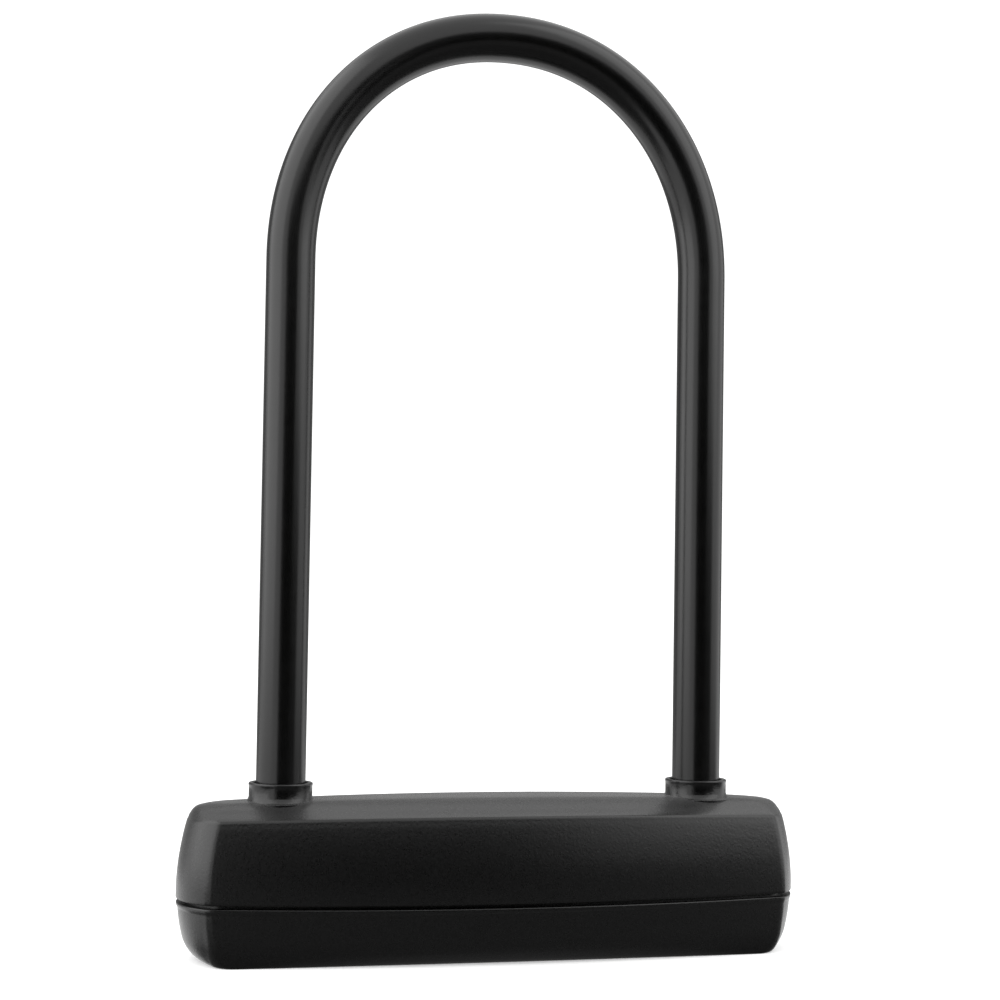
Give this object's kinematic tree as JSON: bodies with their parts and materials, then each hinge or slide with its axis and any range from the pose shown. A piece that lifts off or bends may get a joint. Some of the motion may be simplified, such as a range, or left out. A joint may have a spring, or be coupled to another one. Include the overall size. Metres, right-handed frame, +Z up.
{
  "type": "u lock",
  "caption": "Closed U-shaped bicycle lock: a coated steel shackle standing in a bowed two-part crossbar with leg collars and an underside keyhole shutter.",
  "frame": {"origin": "middle of the crossbar's flat underside", "axes": "+Z up along the shackle's legs, +X along the crossbar, the bowed front face looks along -Y"},
  "size_m": [0.194, 0.055, 0.2923],
  "materials": {
    "cover_moulding": "black moulded plastic with a fine spark-eroded grain",
    "shackle_vinyl": "black satin vinyl coating",
    "hardened_steel": "dark hardened steel",
    "bright_steel": "zinc-plated steel",
    "zinc_casting": "as-cast zinc alloy",
    "lock_brass": "machined brass",
    "bush_nylon": "black nylon"
  },
  "bodies": {
    "crossbar": {"upper_cover": "cover_moulding", "lower_cover": "cover_moulding", "keyhole_ring": "bright_steel", "crossbar_tube": "hardened_steel", "left_end_plug": "zinc_casting", "right_end_plug": "zinc_casting", "bolt_block": "zinc_casting", "left_bolt_guide": "zinc_casting", "right_bolt_guide": "zinc_casting", "left_leg_bush": "bush_nylon", "right_leg_bush": "bush_nylon", "lock_housing": "lock_brass", "plug_retaining_ring": "bright_steel", "lock_housing_pin": "bright_steel", "bolt_block_pin": "bright_steel", "left_end_screw": "bright_steel", "right_end_screw": "bright_steel", "left_base_screw": "bright_steel", "right_base_screw": "bright_steel"},
    "shackle": {"shackle_bar": "hardened_steel", "shackle_coating": "shackle_vinyl"},
    "plug": {"lock_plug": "lock_brass", "drill_plate": "bright_steel", "sidebar": "bright_steel", "plug_tail": "bright_steel", "scroll_cam": "bright_steel", "detainer_disc_1": "lock_brass", "detainer_disc_2": "lock_brass", "detainer_disc_3": "lock_brass", "detainer_disc_4": "lock_brass", "detainer_disc_5": "lock_brass", "disc_spacer_1": "bright_steel", "disc_spacer_2": "bright_steel", "disc_spacer_3": "bright_steel", "disc_spacer_4": "bright_steel"},
    "left_bolt": {"left_bolt": "bright_steel", "left_bolt_pin": "bright_steel"},
    "right_bolt": {"right_bolt": "bright_steel", "right_bolt_pin": "bright_steel"},
    "keyhole_shutter": {"dust_cover": "cover_moulding"}
  },
  "joints": [
    {"name": "shackle_lift", "type": "slide", "parent": "crossbar", "child": "shackle", "axis": [0, 0, 1], "range_m": [0, 0.045]},
    {"name": "plug_turn", "type": "hinge", "parent": "crossbar", "child": "plug", "pos_m": [0, 0, 0.012], "axis": [0, 0, 1], "range_deg": [0, 90]},
    {"name": "left_bolt_slide", "type": "slide", "parent": "crossbar", "child": "left_bolt", "axis": [-1, 0, 0], "range_m": [0, 0.0045]},
    {"name": "right_bolt_slide", "type": "slide", "parent": "crossbar", "child": "right_bolt", "axis": [1, 0, 0], "range_m": [0, 0.0045]},
    {"name": "shutter_slide", "type": "slide", "parent": "crossbar", "child": "keyhole_shutter", "axis": [1, 0, 0], "range_m": [0, 0.021]}
  ],
  "couplings": [
    {"joint": "plug_turn", "follows": "left_bolt_slide", "rad_per_m": 349.06},
    {"joint": "right_bolt_slide", "follows": "left_bolt_slide", "ratio": 1}
  ]
}
